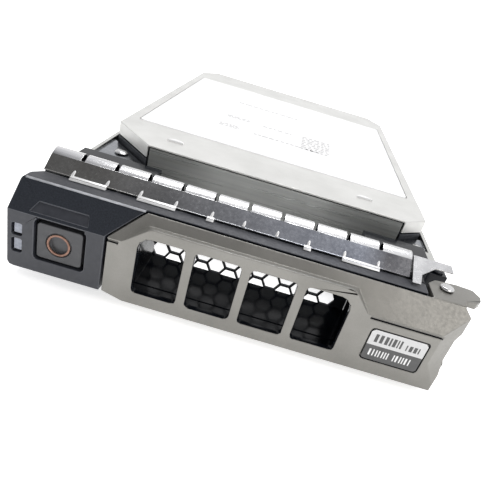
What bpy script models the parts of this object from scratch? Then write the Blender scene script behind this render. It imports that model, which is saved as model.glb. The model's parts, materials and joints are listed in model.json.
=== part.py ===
"""A 3.5-inch hard disk drive screwed into its hot-swap carrier, every piece its own solid.

Metres, +Z up. X runs along the bezel from the button to the handle's pivot, Y from the
bezel back to the host connector. The origin is where the spindle axis meets the underside.
"""

import math

import bmesh
import bpy
from mathutils import Matrix, Vector

# ------------------------------------------------------------------ driving dimensions
GAP = 0.0003  # left between neighbouring pieces
PAST = 0.001  # how far a cutter runs past the face it opens

# Drive, to the 3.5-inch form factor
DRIVE_WIDTH = 0.1016
DRIVE_LENGTH = 0.1470
DRIVE_HEIGHT = 0.0261
DRIVE_FRONT = -0.0510
LEFT_CHAMFER = 0.0140
RIGHT_CHAMFER_X, RIGHT_CHAMFER_Y = 0.0075, 0.0056
REAR_CUT_X, REAR_CUT_Y = 0.0065, 0.0110
COVER_THICKNESS = 0.0011
COVER_WALL = 0.0008
SKIRT_DEPTH = 0.0040
LABEL_HALF_WIDTH = 0.0472
LABEL_FRONT, LABEL_BACK = -0.0285, 0.0720
CAVITY_FLOOR = 0.0055
CAVITY_RADIUS = 0.0484
SIDE_HOLE_HEIGHT = 0.00635
SIDE_HOLES_FROM_BACK = (0.0285, 0.1301)
BOTTOM_HOLE_X = 0.04763
BOTTOM_HOLES_FROM_BACK = (0.04128, 0.08573)

# Disk stack and actuator
PLATTERS = 8
PLATTER_RADIUS, PLATTER_BORE = 0.0475, 0.0125
PLATTER_THICKNESS = 0.0006
PLATTER_PITCH = 0.00211
FIRST_PLATTER = 0.0075
HUB_RADIUS = 0.0121
SPACER_RADIUS = 0.0148
PIVOT = (0.0120, 0.0580)
PARK_ANGLE = math.radians(204)  # of the arms, seen from above
ARM_LENGTH = 0.0500
ARM_THICKNESS = 0.0008
COIL_INNER, COIL_OUTER = 0.0180, 0.0300
COIL_HALF_ANGLE = math.radians(14)
COIL_LOW, COIL_HIGH = 0.0137, 0.0163

# Carrier front
FACE = -0.0945  # front plane of the bezel and the handle
BAND_BACK = -0.0885  # where the 45 degree band meets the top
BAND_LOW = 0.0180
FRONT_TOP = 0.0240
BEZEL_LEFT, BEZEL_RIGHT = -0.0540, -0.0313
BEZEL_BOTTOM, BEZEL_BACK = 0.0030, -0.0833
SEAM_RISE = 0.0070  # how far the seam leans to the right as it climbs the band
HANDLE_LEFT, HANDLE_BOTTOM = -0.0307, 0.0018
WINDOWS = 4
WINDOW_WIDTH, WINDOW_PITCH, FIRST_WINDOW = 0.0108, 0.0131, -0.0182
WINDOW_LOW, WINDOW_HIGH = 0.0053, 0.0204
STICKER_X, STICKER_Z = (0.0333, 0.0470), (0.0059, 0.0146)
HINGE = (0.0492, -0.0831)
LUG_THICKNESS = 0.0016
TUNNEL_X, TUNNEL_Z = (-0.0247, 0.0307), (0.0037, 0.0216)
FRAME_FRONT, FRAME_BACK, FRAME_ARM_BACK = -0.0880, -0.0730, -0.0570
FRAME_LOW, FRAME_ARM_TOP = 0.0024, 0.0221
FRAME_HALF_WIDTH = 0.0530
STRIP_LOW = FRAME_ARM_TOP + GAP  # underside of the bezel's strip over the frame
STRIP_FRONT = FRAME_FRONT + 0.0003

# Button and latch
BUTTON_X, BUTTON_Z = (-0.0477, -0.0355), (0.0066, 0.0172)
BUTTON_FRONT = -0.0939
BUTTON_CENTRE = (-0.0420, 0.01160)
LATCH_Y, LATCH_Z = (-0.0879, -0.0854), (0.0080, 0.0120)

# Gasket, grille and rails
GASKET_X = (-0.0516, 0.0396)
GASKET_SLITS, GASKET_FIRST_SLIT, GASKET_SLIT_PITCH = 10, -0.0440, 0.0084
HEX_FLATS, HEX_WEB = 0.0041, 0.00052
HEX_COLUMNS, HEX_ROWS = 13, 4
HEX_FIRST_X, HEX_FIRST_Z = -0.0229, 0.0056
GRILLE_Y = (-0.0727, -0.0719)
RAIL_INNER, RAIL_OUTER = 0.0519, 0.0531
RAIL_FRONT, RAIL_BACK, RAIL_TOP = -0.0566, 0.0930, 0.0205
NOSE_INNER, NOSE_FRONT, NOSE_BACK = 0.0498, -0.0664, -0.0556  # of the right rail's thicker front end
RIVETS = {"left": (-0.0456, -0.0474, 0.0021), "right": (0.0486, -0.0532, 0.0016)}

DRIVE_BACK = DRIVE_FRONT + DRIVE_LENGTH
DRIVE_HALF = DRIVE_WIDTH / 2
COVER_UNDERSIDE = DRIVE_HEIGHT - COVER_THICKNESS
RIM_TOP = COVER_UNDERSIDE - GAP
SKIRT_LOW = DRIVE_HEIGHT - SKIRT_DEPTH
LUG_TOP_LOW = FRONT_TOP - LUG_THICKNESS

# ------------------------------------------------------------------ scene and materials
for old in list(bpy.data.objects):
    bpy.data.objects.remove(old)

PARTS = bpy.data.collections.new("hard_disk_drive")
CUTTERS = bpy.data.collections.new("cutters")
JOINTS = bpy.data.collections.new("joints")
for group in (PARTS, CUTTERS, JOINTS):
    bpy.context.scene.collection.children.link(group)


def material(name, colour, roughness, metallic=0.0):
    made = bpy.data.materials.new(name)
    made.use_nodes = True
    shader = made.node_tree.nodes["Principled BSDF"]
    shader.inputs["Base Color"].default_value = (*colour, 1.0)
    shader.inputs["Roughness"].default_value = roughness
    shader.inputs["Metallic"].default_value = metallic
    return made


BLACK_PLASTIC = material("black_plastic", (0.045, 0.048, 0.055), 0.45)
BUTTON_PLASTIC = material("button_plastic", (0.075, 0.080, 0.088), 0.40)
HANDLE_PAINT = material("handle_paint", (0.30, 0.29, 0.26), 0.35, 0.6)
COPPER = material("copper_ring", (0.32, 0.15, 0.09), 0.35, 0.8)
LENS = material("lens", (0.30, 0.32, 0.34), 0.25)
STAINLESS = material("stainless", (0.62, 0.62, 0.60), 0.25, 1.0)
STEEL = material("steel", (0.50, 0.51, 0.52), 0.35, 1.0)
RAIL_STEEL = material("rail_steel", (0.55, 0.55, 0.53), 0.45, 0.8)
BLACK_STEEL = material("black_steel", (0.03, 0.03, 0.035), 0.40, 0.4)
CASTING_BLACK = material("casting", (0.04, 0.045, 0.055), 0.50, 0.3)
COVER_METAL = material("cover_metal", (0.68, 0.68, 0.66), 0.42, 0.7)
LABEL_WHITE = material("label_white", (0.85, 0.85, 0.85), 0.55)
LABEL_GREY = material("label_grey", (0.25, 0.25, 0.25), 0.55)
BOARD_GREEN = material("board", (0.02, 0.09, 0.05), 0.45)
CONNECTOR_BLACK = material("connector_black", (0.03, 0.03, 0.03), 0.40)
PLATTER_MIRROR = material("platter_mirror", (0.80, 0.80, 0.82), 0.05, 1.0)
ALUMINIUM = material("aluminium", (0.65, 0.66, 0.67), 0.35, 1.0)
COIL_COPPER = material("coil_copper", (0.70, 0.33, 0.16), 0.35, 1.0)
MAGNET_NICKEL = material("magnet_nickel", (0.60, 0.59, 0.57), 0.25, 1.0)
IVORY_PLASTIC = material("ivory_plastic", (0.70, 0.66, 0.55), 0.45)
FLEX_AMBER = material("flex_amber", (0.45, 0.22, 0.05), 0.35)


# ------------------------------------------------------------------ shape helpers
def add_object(name, mesh, look, location=(0, 0, 0)):
    made = bpy.data.objects.new(name, mesh)
    made.location = location
    if look:
        mesh.materials.append(look)
    PARTS.objects.link(made)
    return made


def shade_round(mesh):
    mesh.shade_smooth()
    mesh.set_sharp_from_angle(angle=math.radians(35))


def box(name, x, y, z, look=None):
    """A box between the two ends given along each axis."""
    size = Vector((x[1] - x[0], y[1] - y[0], z[1] - z[0]))
    shape = bmesh.new()
    bmesh.ops.create_cube(shape, size=1.0)
    bmesh.ops.scale(shape, vec=size, verts=shape.verts)
    mesh = bpy.data.meshes.new(name)
    shape.to_mesh(mesh)
    shape.free()
    middle = ((x[0] + x[1]) / 2, (y[0] + y[1]) / 2, (z[0] + z[1]) / 2)
    return add_object(name, mesh, look, middle)


def cylinder(name, radius, axis, ends, across, look=None, sides=24):
    """A cylinder along X, Y or Z between its ends; across holds its other two coordinates."""
    shape = bmesh.new()
    depth = ends[1] - ends[0]
    bmesh.ops.create_cone(
        shape, cap_ends=True, segments=sides, radius1=radius, radius2=radius, depth=depth
    )
    mesh = bpy.data.meshes.new(name)
    shape.to_mesh(mesh)
    shape.free()
    shade_round(mesh)
    middle = (ends[0] + ends[1]) / 2
    place = {
        "X": ((middle, across[0], across[1]), (0, math.pi / 2, 0)),
        "Y": ((across[0], middle, across[1]), (math.pi / 2, 0, 0)),
        "Z": ((across[0], across[1], middle), (0, 0, 0)),
    }[axis]
    made = add_object(name, mesh, look, place[0])
    made.rotation_euler = place[1]
    return made


PLANES = {  # a flat outline's own x, y and normal, as the world's axes
    "XY": Matrix.Identity(4),
    "XZ": Matrix.Rotation(math.pi / 2, 4, "X"),
    "YZ": Matrix(((0, 0, 1, 0), (1, 0, 0, 0), (0, 1, 0, 0), (0, 0, 0, 1))),
}
NORMAL_OF = {"XY": Vector((0, 0, 1)), "XZ": Vector((0, 1, 0)), "YZ": Vector((1, 0, 0))}


def plate(name, outlines, plane, low, high, look=None):
    """Flat outlines, the first one outer and the rest holes, thickened from low to high."""
    curve = bpy.data.curves.new(name, "CURVE")
    curve.dimensions = "2D"
    curve.fill_mode = "BOTH"
    curve.extrude = (high - low) / 2
    for outline in outlines:
        spline = curve.splines.new("POLY")
        spline.points.add(len(outline) - 1)
        for point, (a, b) in zip(spline.points, outline):
            point.co = (a, b, 0, 1)
        spline.use_cyclic_u = True
    flat = bpy.data.objects.new(name, curve)
    flat.matrix_world = PLANES[plane]
    PARTS.objects.link(flat)
    return mesh_of_curve(flat, look, NORMAL_OF[plane] * ((low + high) / 2))


def mesh_of_curve(curve_object, look, shift=(0, 0, 0)):
    """The curve's surface as a welded mesh object in the same place, moved by shift."""
    bpy.context.view_layer.update()
    graph = bpy.context.evaluated_depsgraph_get()
    mesh = bpy.data.meshes.new_from_object(curve_object.evaluated_get(graph))
    shape = bmesh.new()
    shape.from_mesh(mesh)
    bmesh.ops.remove_doubles(shape, verts=shape.verts, dist=1e-6)
    bmesh.ops.recalc_face_normals(shape, faces=shape.faces)
    shape.to_mesh(mesh)
    shape.free()
    name = curve_object.name
    matrix = curve_object.matrix_world.copy()
    bpy.data.objects.remove(curve_object)
    mesh.materials.clear()
    made = add_object(name, mesh, look)
    made.matrix_world = Matrix.Translation(shift) @ matrix
    return made


def turned(name, profile, look, at=(0, 0, 0), sides=32):
    """A (radius, height) profile, run down its outer side, spun about a vertical axis."""
    shape = bmesh.new()
    verts = [shape.verts.new((radius, 0, height)) for radius, height in profile]
    ends = verts[1:] if profile[0][0] == 0 else verts[1:] + verts[:1]
    for a, b in zip(verts, ends):
        shape.edges.new((a, b))
    mesh = bpy.data.meshes.new(name)
    shape.to_mesh(mesh)
    shape.free()
    made = add_object(name, mesh, look, at)
    screw = made.modifiers.new("Spin", "SCREW")
    screw.steps = screw.render_steps = sides
    screw.use_merge_vertices = True
    screw.merge_threshold = 0.00001
    screw.use_smooth_shade = True
    return made


def wire(name, points, radius, look, around=1):
    """A round wire through the points."""
    curve = bpy.data.curves.new(name, "CURVE")
    curve.dimensions = "3D"
    curve.bevel_depth = radius
    curve.bevel_resolution = around
    curve.use_fill_caps = True
    spline = curve.splines.new("POLY")
    spline.points.add(len(points) - 1)
    for point, position in zip(spline.points, points):
        point.co = (*position, 1)
    made = bpy.data.objects.new(name, curve)
    PARTS.objects.link(made)
    return mesh_of_curve(made, look)


def combine(target, operation, others):
    for other in others:
        step = target.modifiers.new(other.name, "BOOLEAN")
        step.operation = operation
        step.object = other
        step.solver = "EXACT"
        PARTS.objects.unlink(other)
        CUTTERS.objects.link(other)
        other.hide_render = True
        other.display_type = "WIRE"
    return target


def cut(target, *cutters):
    return combine(target, "DIFFERENCE", cutters)


def join(target, *others):
    return combine(target, "UNION", others)


def pivot(name, at, pieces):
    """An empty on a joint's axis, with the pieces that move about it as its children."""
    empty = bpy.data.objects.new(name, None)
    empty.location = at
    empty.empty_display_size = 0.01
    JOINTS.objects.link(empty)
    for piece in pieces:
        piece.parent = empty
        piece.matrix_parent_inverse = Matrix.Translation(at).inverted()
    return empty


def beneath(name, point, normal):
    """A block below the sloping plane through a point."""
    size = 0.02
    block = box(name, (-size, size), (-size, size), (-size, size))
    turn = Vector(normal).to_track_quat("Z", "X").to_matrix().to_4x4()
    block.matrix_world = Matrix.Translation(point) @ turn @ Matrix.Translation((0, 0, -size))
    return block


# ------------------------------------------------------------------ outline helpers
def circle(centre, radius, sides):
    turns = [2 * math.pi * k / sides for k in range(sides)]
    return [(centre[0] + radius * math.cos(t), centre[1] + radius * math.sin(t)) for t in turns]


def rectangle(x, y):
    return [(x[0], y[0]), (x[1], y[0]), (x[1], y[1]), (x[0], y[1])]


def rounded(corners, radius, steps=3):
    """The outline with an arc at each corner; a corner may give its own radius third."""
    points = []
    for before, corner, after in zip(corners[-1:] + corners[:-1], corners, corners[1:] + corners[:1]):
        here = Vector(corner[:2])
        own = corner[2] if len(corner) > 2 else radius
        if own == 0:
            points.append(tuple(here))
            continue
        back = (Vector(before[:2]) - here).normalized()
        ahead = (Vector(after[:2]) - here).normalized()
        half = back.angle(ahead) / 2
        centre = here + (back + ahead).normalized() * (own / math.sin(half))
        start = here + back * (own / math.tan(half)) - centre
        end = here + ahead * (own / math.tan(half)) - centre
        first = math.atan2(start.y, start.x)
        sweep = (math.atan2(end.y, end.x) - first + math.pi) % (2 * math.pi) - math.pi
        for k in range(steps + 1):
            turn = first + sweep * k / steps
            points.append((centre.x + own * math.cos(turn), centre.y + own * math.sin(turn)))
    return points


def inset(outline, distance):
    """The convex, counter-clockwise outline with every side moved inwards."""
    sides = []
    for (x0, y0), (x1, y1) in zip(outline, outline[1:] + outline[:1]):
        along = Vector((x1 - x0, y1 - y0)).normalized()
        sides.append((Vector((x0, y0)) + Vector((-along.y, along.x)) * distance, along))
    corners = []
    for (p, u), (q, v) in zip(sides[-1:] + sides[:-1], sides):
        corners.append(tuple(p + u * ((q - p).cross(v) / u.cross(v))))
    return corners


def from_pivot(radius, angle):
    return (PIVOT[0] + radius * math.cos(angle), PIVOT[1] + radius * math.sin(angle))


def sector(inner, outer, middle, half, steps=8):
    """A ring sector about the actuator's pivot."""
    turns = [middle - half + 2 * half * k / steps for k in range(steps + 1)]
    return [from_pivot(outer, t) for t in turns] + [from_pivot(inner, t) for t in reversed(turns)]


def across(x, side):
    """The two ends of a stretch along X, mirrored for the left side."""
    return tuple(sorted(side * value for value in x))


# ------------------------------------------------------------------ drive: casting and cover
def drive_outline():
    return [
        (-DRIVE_HALF, DRIVE_FRONT + LEFT_CHAMFER),
        (-DRIVE_HALF + LEFT_CHAMFER, DRIVE_FRONT),
        (DRIVE_HALF - RIGHT_CHAMFER_X, DRIVE_FRONT),
        (DRIVE_HALF, DRIVE_FRONT + RIGHT_CHAMFER_Y),
        (DRIVE_HALF, DRIVE_BACK - REAR_CUT_Y),
        (DRIVE_HALF - REAR_CUT_X, DRIVE_BACK),
        (-DRIVE_HALF + REAR_CUT_X, DRIVE_BACK),
        (-DRIVE_HALF, DRIVE_BACK - REAR_CUT_Y),
    ]


RIM_INSET = COVER_WALL + GAP + 0.00005
FRONT_PLATE_X = (-0.0362, 0.0427)
BOARD_X, BOARD_Y = 0.0430, (0.0306, 0.0880)
BOARD_Z = (0.0012, 0.0024)
BOARD_SCREWS = ((-0.0380, 0.0350), (0.0380, 0.0350))
CONNECTOR_X = (-0.0280, 0.0140)


def side_holes():
    """The y and the side of each of the drive's four side holes."""
    return [(DRIVE_BACK - d, side) for side in (-1, 1) for d in SIDE_HOLES_FROM_BACK]


def make_base_casting():
    outline = drive_outline()
    shoulder = SKIRT_LOW - 0.0005
    casting = plate("base_casting", [outline], "XY", 0, shoulder, CASTING_BLACK)
    rim = plate("casting_rim", [inset(outline, RIM_INSET)], "XY", shoulder - PAST, RIM_TOP)
    disk_well = cylinder(
        "disk_well", CAVITY_RADIUS, "Z", (CAVITY_FLOOR, DRIVE_HEIGHT), (0, 0), sides=64
    )
    rear_well = plate(
        "rear_well",
        [rounded(rectangle((-0.0460, 0.0460), (0.0150, 0.0880)), 0.004)],
        "XY", CAVITY_FLOOR, DRIVE_HEIGHT,
    )
    board_well = box("board_well", (-0.0436, 0.0436), (0.0300, 0.0886), (-PAST, 0.0029))
    socket = box(
        "connector_well", (CONNECTOR_X[0] - GAP, CONNECTOR_X[1] + GAP),
        (0.0883, DRIVE_BACK + PAST), (-PAST, 0.0049),
    )
    plate_seat = box(
        "front_plate_seat", (FRONT_PLATE_X[0] - 0.0006, FRONT_PLATE_X[1] + 0.0006),
        (DRIVE_FRONT - PAST, DRIVE_FRONT + 0.0009), (0.0030, DRIVE_HEIGHT),
    )
    join(casting, rim)
    cut(casting, disk_well, rear_well, board_well, socket, plate_seat)
    for k, (y, side) in enumerate(side_holes()):
        depth = across((DRIVE_HALF - 0.0041, DRIVE_HALF + PAST), side)
        cut(casting, cylinder(f"side_hole_{k}", 0.0018, "X", depth, (y, SIDE_HOLE_HEIGHT), sides=16))
    for k, back in enumerate(BOTTOM_HOLES_FROM_BACK):
        for side in (-1, 1):
            at = (side * BOTTOM_HOLE_X, DRIVE_BACK - back)
            hole = cylinder(f"bottom_hole_{k}_{side}", 0.0015, "Z", (-PAST, 0.0035), at, sides=16)
            cut(casting, hole)
    for k, at in enumerate(BOARD_SCREWS):
        cut(casting, cylinder(f"board_hole_{k}", 0.0014, "Z", (0.0, 0.0047), at, sides=16))
    return casting


def make_top_cover():
    outline = drive_outline()
    cover = plate("top_cover", [outline], "XY", SKIRT_LOW, DRIVE_HEIGHT, COVER_METAL)
    inside = plate(
        "cover_inside", [inset(outline, COVER_WALL)], "XY", SKIRT_LOW - PAST, COVER_UNDERSIDE
    )
    label_seat = plate(
        "label_seat",
        [rounded(rectangle((-LABEL_HALF_WIDTH - GAP, LABEL_HALF_WIDTH + GAP),
                           (LABEL_FRONT - GAP, LABEL_BACK + GAP)), 0.0015)],
        "XY", DRIVE_HEIGHT - 0.0005, DRIVE_HEIGHT + PAST,
    )
    front_gap = box(
        "skirt_gap", (FRONT_PLATE_X[0] - 0.0006, FRONT_PLATE_X[1] + 0.0006),
        (DRIVE_FRONT - PAST, DRIVE_FRONT + 0.0015), (SKIRT_LOW - PAST, DRIVE_HEIGHT - 0.0006),
    )
    return cut(cover, inside, label_seat, front_gap)


def make_drive_trim():
    plate(
        "cover_label",
        [rounded(rectangle((-LABEL_HALF_WIDTH, LABEL_HALF_WIDTH), (LABEL_FRONT, LABEL_BACK)), 0.0015)],
        "XY", DRIVE_HEIGHT - 0.0002, DRIVE_HEIGHT, LABEL_WHITE,
    )
    box(
        "front_plate", FRONT_PLATE_X, (DRIVE_FRONT + 0.0001, DRIVE_FRONT + 0.0006),
        (0.0034, DRIVE_HEIGHT - 0.0009), STAINLESS,
    )


def make_electronics():
    outline = rounded(
        [(-BOARD_X, BOARD_Y[0]), (-0.0120, BOARD_Y[0]), (-0.0090, BOARD_Y[0] + 0.006),
         (0.0090, BOARD_Y[0] + 0.006), (0.0120, BOARD_Y[0]), (BOARD_X, BOARD_Y[0]),
         (BOARD_X, BOARD_Y[1]), (-BOARD_X, BOARD_Y[1])], 0.0010, 2,
    )
    holes = [circle(at, 0.0014, 16) for at in BOARD_SCREWS]
    plate("circuit_board", [outline, *holes], "XY", *BOARD_Z, BOARD_GREEN)
    connector = box("host_connector", CONNECTOR_X, (0.0886, DRIVE_BACK), (0.0006, 0.0046), CONNECTOR_BLACK)
    for k, x in enumerate(((-0.0265, -0.0060), (-0.0040, 0.0125))):
        cut(connector, box(f"blade_well_{k}", x, (0.0905, DRIVE_BACK + PAST), (0.0013, 0.0039)))
        blade = (x[0] + 0.0008, x[1] - 0.0008)
        join(connector, box(f"blade_{k}", blade, (0.0900, DRIVE_BACK - 0.0004), (0.0026, 0.0034)))
    for k, at in enumerate(BOARD_SCREWS):
        under_board = BOARD_Z[0] - GAP
        profile = [
            (0, 0.0044), (0.0011, 0.0044), (0.0011, under_board),
            (0.0022, under_board), (0.0020, under_board - 0.0006), (0, under_board - 0.0006),
        ]
        screw = turned(f"board_screw_{k + 1}", profile, STEEL, (*at, 0), 16)
        cut(screw, *cross(screw.name, "Z", (under_board - 0.0006 - PAST, under_board), at, 0.0010))


# ------------------------------------------------------------------ drive: disk stack
def platter_height(k):
    return FIRST_PLATTER + k * PLATTER_PITCH


def make_motor():
    turned("spindle_shaft", [(0, 0.0222), (0.0028, 0.0222), (0.0028, 0.0058), (0, 0.0058)], STEEL)
    plate(
        "motor_stator", [circle((0, 0), 0.0096, 24), circle((0, 0), 0.0042, 24)],
        "XY", 0.0058, 0.0135, COIL_COPPER,
    )


def make_disk_stack():
    flange_top = FIRST_PLATTER - GAP
    stack_top = platter_height(PLATTERS - 1) + PLATTER_THICKNESS
    hub_profile = [
        (0.0032, stack_top), (HUB_RADIUS, stack_top), (HUB_RADIUS, flange_top),
        (0.0150, flange_top), (0.0150, 0.0062), (0.0102, 0.0062), (0.0102, 0.0150), (0.0032, 0.0150),
    ]
    stack = [turned("spindle_hub", hub_profile, ALUMINIUM, sides=28)]
    for k in range(PLATTERS):
        rings = [circle((0, 0), PLATTER_RADIUS, 44), circle((0, 0), PLATTER_BORE, 24)]
        low = platter_height(k)
        disk = plate(f"platter_{k + 1}", rings, "XY", low, low + PLATTER_THICKNESS, PLATTER_MIRROR)
        stack.append(disk)
    for k in range(PLATTERS - 1):
        rings = [circle((0, 0), SPACER_RADIUS, 24), circle((0, 0), PLATTER_BORE, 24)]
        low = platter_height(k) + PLATTER_THICKNESS + GAP
        high = platter_height(k + 1) - GAP
        stack.append(plate(f"spacer_ring_{k + 1}", rings, "XY", low, high, ALUMINIUM))
    clamp_profile = [
        (0.0045, stack_top + 0.0011), (0.0140, stack_top + 0.0011), (0.0150, stack_top + GAP),
        (0.0045, stack_top + GAP),
    ]
    stack.append(turned("disk_clamp", clamp_profile, STEEL))
    pivot("spindle_axis", (0, 0, 0), stack)


# ------------------------------------------------------------------ drive: actuator
def make_head_stack():
    body_low, body_high = 0.0063, 0.0240
    tower = plate(
        "head_stack", [circle(PIVOT, 0.0090, 28), circle(PIVOT, 0.0046, 24)],
        "XY", body_low, body_high, ALUMINIUM,
    )
    root_half, tip_half = 0.0062, 0.0011
    beside = PARK_ANGLE + math.pi / 2
    offset = Vector((math.cos(beside), math.sin(beside)))
    root = Vector(from_pivot(0.0060, PARK_ANGLE))
    waist = Vector(from_pivot(0.0320, PARK_ANGLE))
    tip = Vector(from_pivot(ARM_LENGTH, PARK_ANGLE))
    arm_outline = [
        tuple(root + offset * root_half), tuple(waist + offset * 0.0028), tuple(tip + offset * tip_half),
        tuple(tip - offset * tip_half), tuple(waist - offset * 0.0028), tuple(root - offset * root_half),
    ]
    for k in range(PLATTERS + 1):
        middle = FIRST_PLATTER - (PLATTER_PITCH - PLATTER_THICKNESS) / 2 + k * PLATTER_PITCH
        half = ARM_THICKNESS / 2
        join(tower, plate(f"arm_{k}", [arm_outline], "XY", middle - half, middle + half))
    coil_angle = PARK_ANGLE - math.pi
    for side in (-1, 1):
        middle = coil_angle + side * (COIL_HALF_ANGLE + math.radians(4.0))
        bar = sector(0.0070, COIL_OUTER, middle, math.radians(2.6), 2)
        join(tower, plate(f"coil_fork_{side}", [bar], "XY", COIL_LOW + 0.0002, COIL_HIGH - 0.0002))
    coil = plate(
        "voice_coil",
        [sector(COIL_INNER, COIL_OUTER, coil_angle, COIL_HALF_ANGLE),
         sector(COIL_INNER + 0.004, COIL_OUTER - 0.004, coil_angle, COIL_HALF_ANGLE * 0.5, 4)],
        "XY", COIL_LOW, COIL_HIGH, COIL_COPPER,
    )
    pivot("actuator_axis", (*PIVOT, 0), [tower, coil])


def make_actuator_frame():
    turned(
        "pivot_bearing", [(0, 0.0242), (0.0043, 0.0242), (0.0043, 0.0058), (0, 0.0058)],
        STEEL, (*PIVOT, 0), 24,
    )
    middle, half = math.radians(41), math.radians(33)
    yoke = sector(0.0150, 0.0306, middle, half)
    plate("yoke_lower", [yoke], "XY", 0.0062, 0.0092, STEEL)
    plate("magnet", [sector(0.0170, 0.0296, middle, half * 0.9)], "XY", 0.0095, 0.0122, MAGNET_NICKEL)
    plate("yoke_upper", [yoke], "XY", 0.0180, 0.0215, STEEL)
    at = from_pivot(ARM_LENGTH + 0.0035, PARK_ANGLE)
    reach = 0.0018
    box(
        "load_ramp", (at[0] - reach, at[0] + reach), (at[1] - reach, at[1] + reach),
        (CAVITY_FLOOR + GAP, 0.0238), IVORY_PLASTIC,
    )
    turns = [math.pi * (0.95 - 0.75 * k / 8) for k in range(9)]
    outer = [(-0.0100 + 0.0140 * math.cos(t), 0.0640 + 0.0140 * math.sin(t)) for t in turns]
    inner = [(-0.0100 + 0.0136 * math.cos(t), 0.0640 + 0.0136 * math.sin(t)) for t in reversed(turns)]
    plate("flex_cable", [outer + inner], "XY", 0.0110, 0.0170, FLEX_AMBER)


# ------------------------------------------------------------------ carrier: black frame
def above_band(name):
    """A wedge over everything in front of and above the 45 degree band."""
    low = (FACE - 0.002, BAND_LOW - 0.002)
    high = (BAND_BACK + 0.002, FRONT_TOP + 0.002)
    return plate(name, [[low, high, (low[0], high[1])]], "YZ", -0.060, 0.060)


TUNNEL_CUT_Y = (FRAME_FRONT - PAST, FRAME_BACK + PAST)


def rivet_tab(side):
    """The frame's tab under a rail's gusset, cut parallel to the drive's chamfer."""
    if side < 0:
        return [(-0.0505, -0.058), (-0.0390, -0.058), (-0.0390, -0.0502), (-0.0505, -0.0390)]
    return [(0.0442, -0.058), (0.0505, -0.058), (0.0505, -0.0466), (0.0442, -0.0513)]


def make_front_frame():
    w = FRAME_HALF_WIDTH
    arm_left, arm_right = -0.0300, 0.0310
    block_right = 0.0440
    plan = [
        (-w, BEZEL_BACK + GAP), (-0.0306, BEZEL_BACK + GAP), (-0.0306, FRAME_FRONT),
        (block_right, FRAME_FRONT), (block_right, -0.0765), (0.0475, -0.0725), (w, -0.0725),
        (w, FRAME_ARM_BACK), (arm_right, FRAME_ARM_BACK), (arm_right, FRAME_BACK),
        (arm_left, FRAME_BACK), (arm_left, FRAME_ARM_BACK), (-w, FRAME_ARM_BACK),
    ]
    frame = plate("front_frame", [plan], "XY", FRAME_LOW, FRAME_ARM_TOP, BLACK_PLASTIC)
    join(frame, box("frame_rib", (-0.0516, 0.0438), (BEZEL_BACK + GAP, -0.0755), (0.0210, FRONT_TOP)))
    join(frame, cylinder("hinge_boss", 0.0032, "Z", (0.0042, 0.0198), HINGE, sides=28))
    join(frame, box("hinge_web", (0.0430, HINGE[0]), (-0.0852, -0.0810), (0.0052, 0.0188)))
    for side in (-1, 1):
        join(frame, plate(f"rivet_tab_{side}", [rivet_tab(side)], "XY", 0.0166, 0.0184))
    cut(frame, cylinder("hinge_bore", 0.0016, "Z", (0.0, 0.0220), HINGE))
    cut(frame, box("tunnel", TUNNEL_X, TUNNEL_CUT_Y, TUNNEL_Z))
    cut(frame, box("keeper_pocket", (-0.0299, -0.0271), (FRAME_FRONT - PAST, -0.0841), (0.0065, 0.0135)))
    nose_y = (FRAME_FRONT - PAST, LATCH_Y[1] + GAP)
    nose_z = (LATCH_Z[0] - GAP, LATCH_Z[1] + GAP)
    cut(frame, box("nose_way", (-0.0316, -0.0290), nose_y, nose_z))
    for side in (-1, 1):
        slot = across((0.0504, 0.0524), side)
        cut(frame, box(f"rail_slot_{side}", slot, (-0.0660, FRAME_ARM_BACK + PAST), (0.0040, 0.0156)))
    rail_way_y = (NOSE_FRONT - GAP, NOSE_BACK + GAP)
    cut(frame, box("rail_way", (NOSE_INNER - GAP, 0.0560), rail_way_y, (0, 0.0300)))
    for name, (x, y, _) in RIVETS.items():
        cut(frame, cylinder(f"rivet_hole_{name}", 0.0013, "Z", (0.0150, 0.0200), (x, y), sides=16))
    cut(frame, cylinder("frame_screw_hole", 0.0013, "Z", (0.0150, 0.0230), (0.0504, -0.0700), sides=16))
    return frame


def make_grille():
    """A plate of hexagonal holes in offset columns, closing the tunnel's back."""
    pitch = HEX_FLATS + HEX_WEB
    column_step = pitch * math.sqrt(3) / 2
    low_z, high_z = FRAME_LOW + 0.0002, 0.0226
    grille = box("airflow_grille", (-0.0296, 0.0306), GRILLE_Y, (low_z, high_z), BLACK_STEEL)
    radius = HEX_FLATS / math.sqrt(3)
    cutter_mesh = bmesh.new()
    for column in range(HEX_COLUMNS):
        for row in range(HEX_ROWS):
            z = HEX_FIRST_Z + row * pitch - (pitch / 2 if column % 2 else 0)
            hole = bmesh.ops.create_cone(
                cutter_mesh, cap_ends=True, segments=6, radius1=radius, radius2=radius, depth=0.004
            )
            turn = Matrix.Rotation(math.pi / 2, 4, "X") @ Matrix.Rotation(math.pi / 6, 4, "Z")
            where = Vector((HEX_FIRST_X + column * column_step, sum(GRILLE_Y) / 2, z))
            bmesh.ops.transform(
                cutter_mesh, matrix=Matrix.Translation(where) @ turn, verts=hole["verts"]
            )
    mesh = bpy.data.meshes.new("hex_holes")
    cutter_mesh.to_mesh(mesh)
    cutter_mesh.free()
    cut(grille, add_object("hex_holes", mesh, None))


# ------------------------------------------------------------------ carrier: handle
def lug_outline():
    """The hinge lug with its ejector hook, seen from above."""
    return rounded(
        [(0.0450, -0.0900, 0), (0.0530, -0.0900, 0), (0.0530, -0.0874, 0), (0.0538, -0.0860, 0),
         (0.0562, -0.0860, 0.0006), (0.0577, -0.0842, 0.0008), (0.0583, -0.0820, 0.0012),
         (0.0570, -0.0793, 0.0012), (0.0530, -0.0789, 0), (0.0471, -0.0797, 0.0012),
         (0.0448, -0.0822, 0.0014)], 0, 2,
    )


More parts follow.
